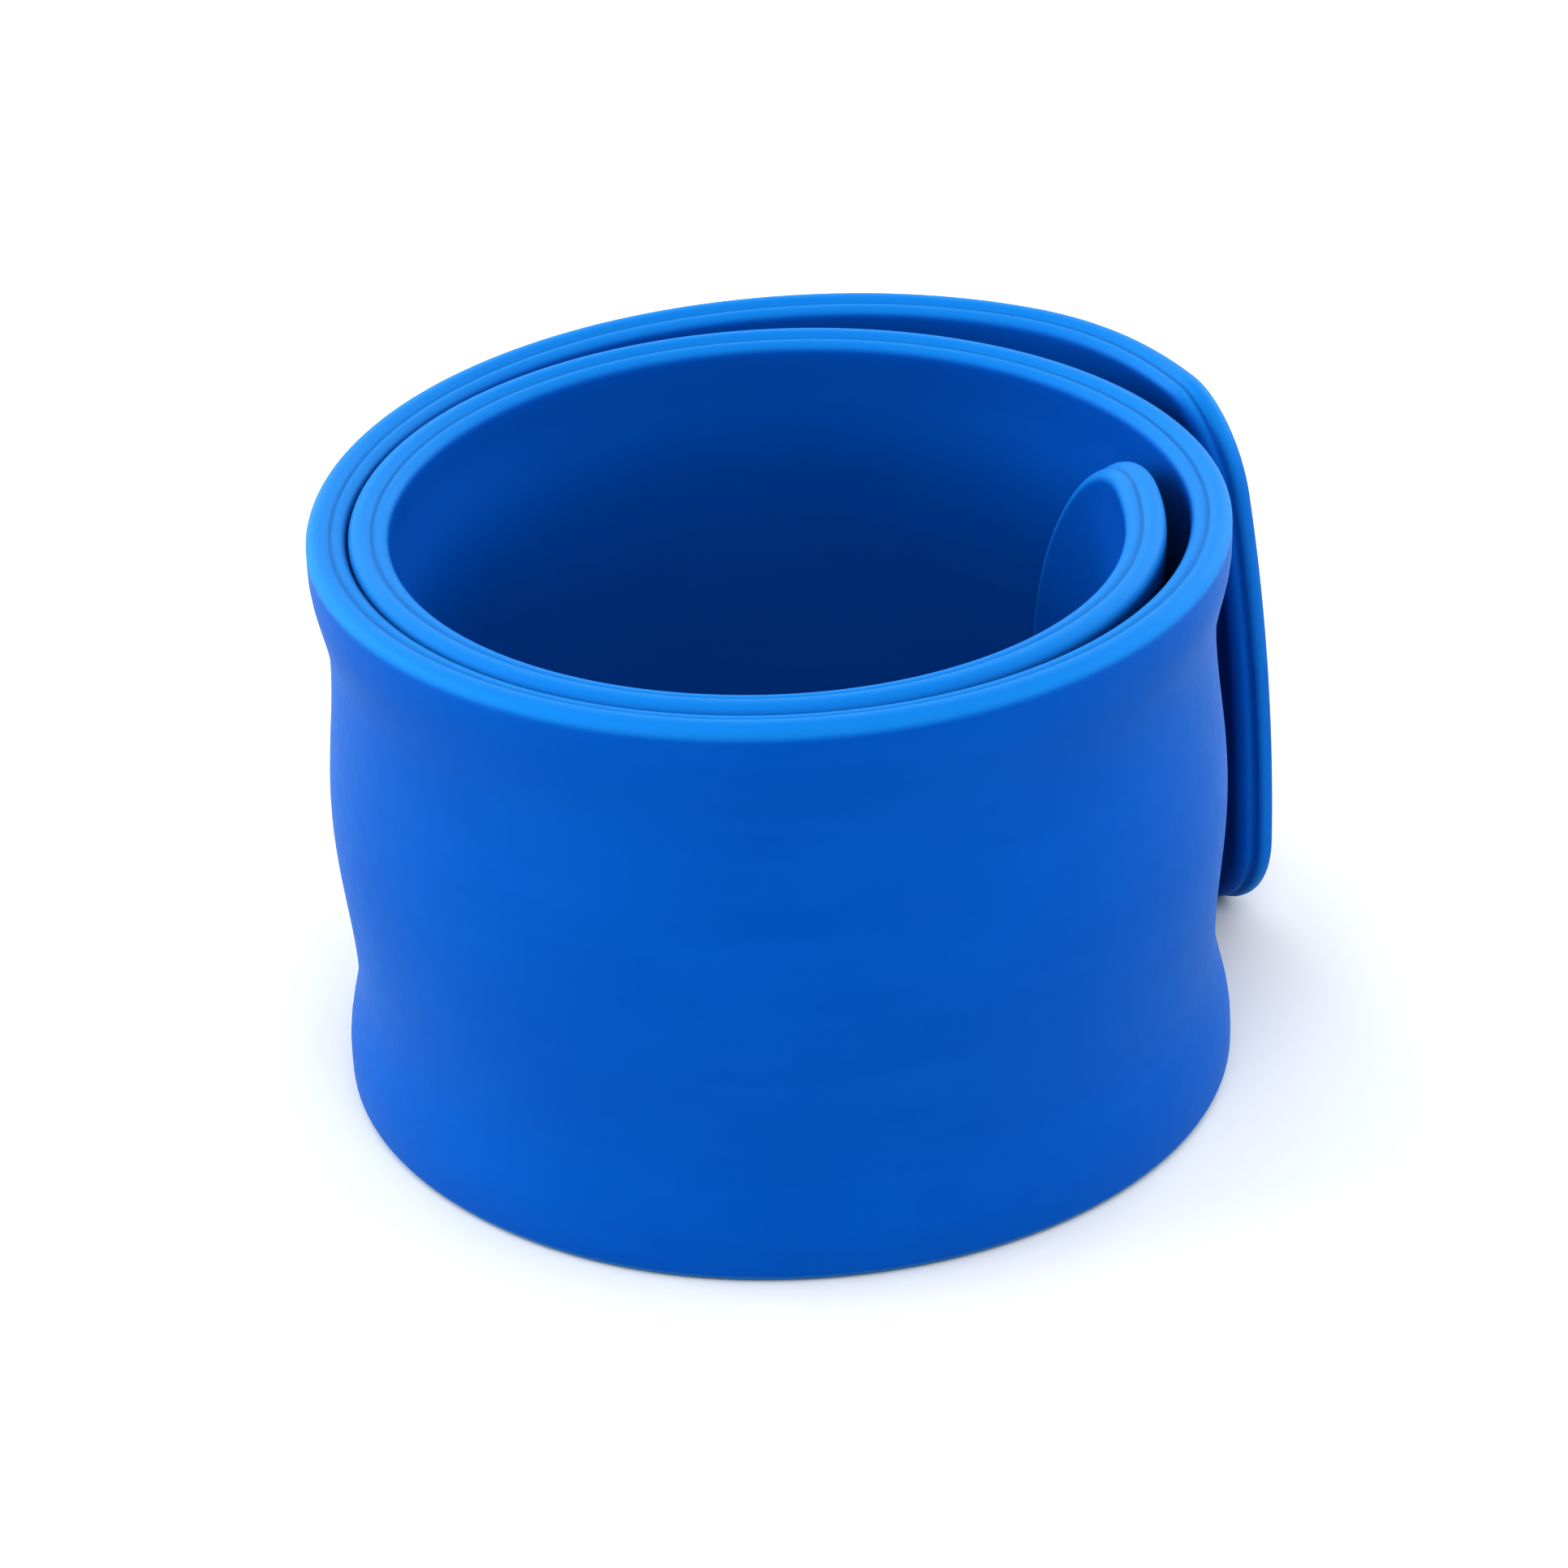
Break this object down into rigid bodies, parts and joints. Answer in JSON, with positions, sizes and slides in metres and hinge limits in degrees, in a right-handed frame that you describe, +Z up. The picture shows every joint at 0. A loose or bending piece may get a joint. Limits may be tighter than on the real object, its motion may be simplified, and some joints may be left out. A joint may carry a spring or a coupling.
{
  "type": "slap bracelet",
  "caption": "Silicone slap bracelet snapped shut into a coil that stands on its edge, with lipped edges, a round inner end that curls into the hollow and a square outer flap.",
  "frame": {"origin": "centre of the coil's box at its base, on the surface that the coil stands on", "axes": "+Z up along the coil's axis, -Y to the front that the picture shows, +X to its right, the side where the flap stands off the coil"},
  "size_m": [0.0396, 0.0406, 0.0254],
  "materials": {
    "silicone": "satin moulded silicone"
  },
  "bodies": {
    "root": {"silicone_band": "silicone"}
  },
  "joints": []
}
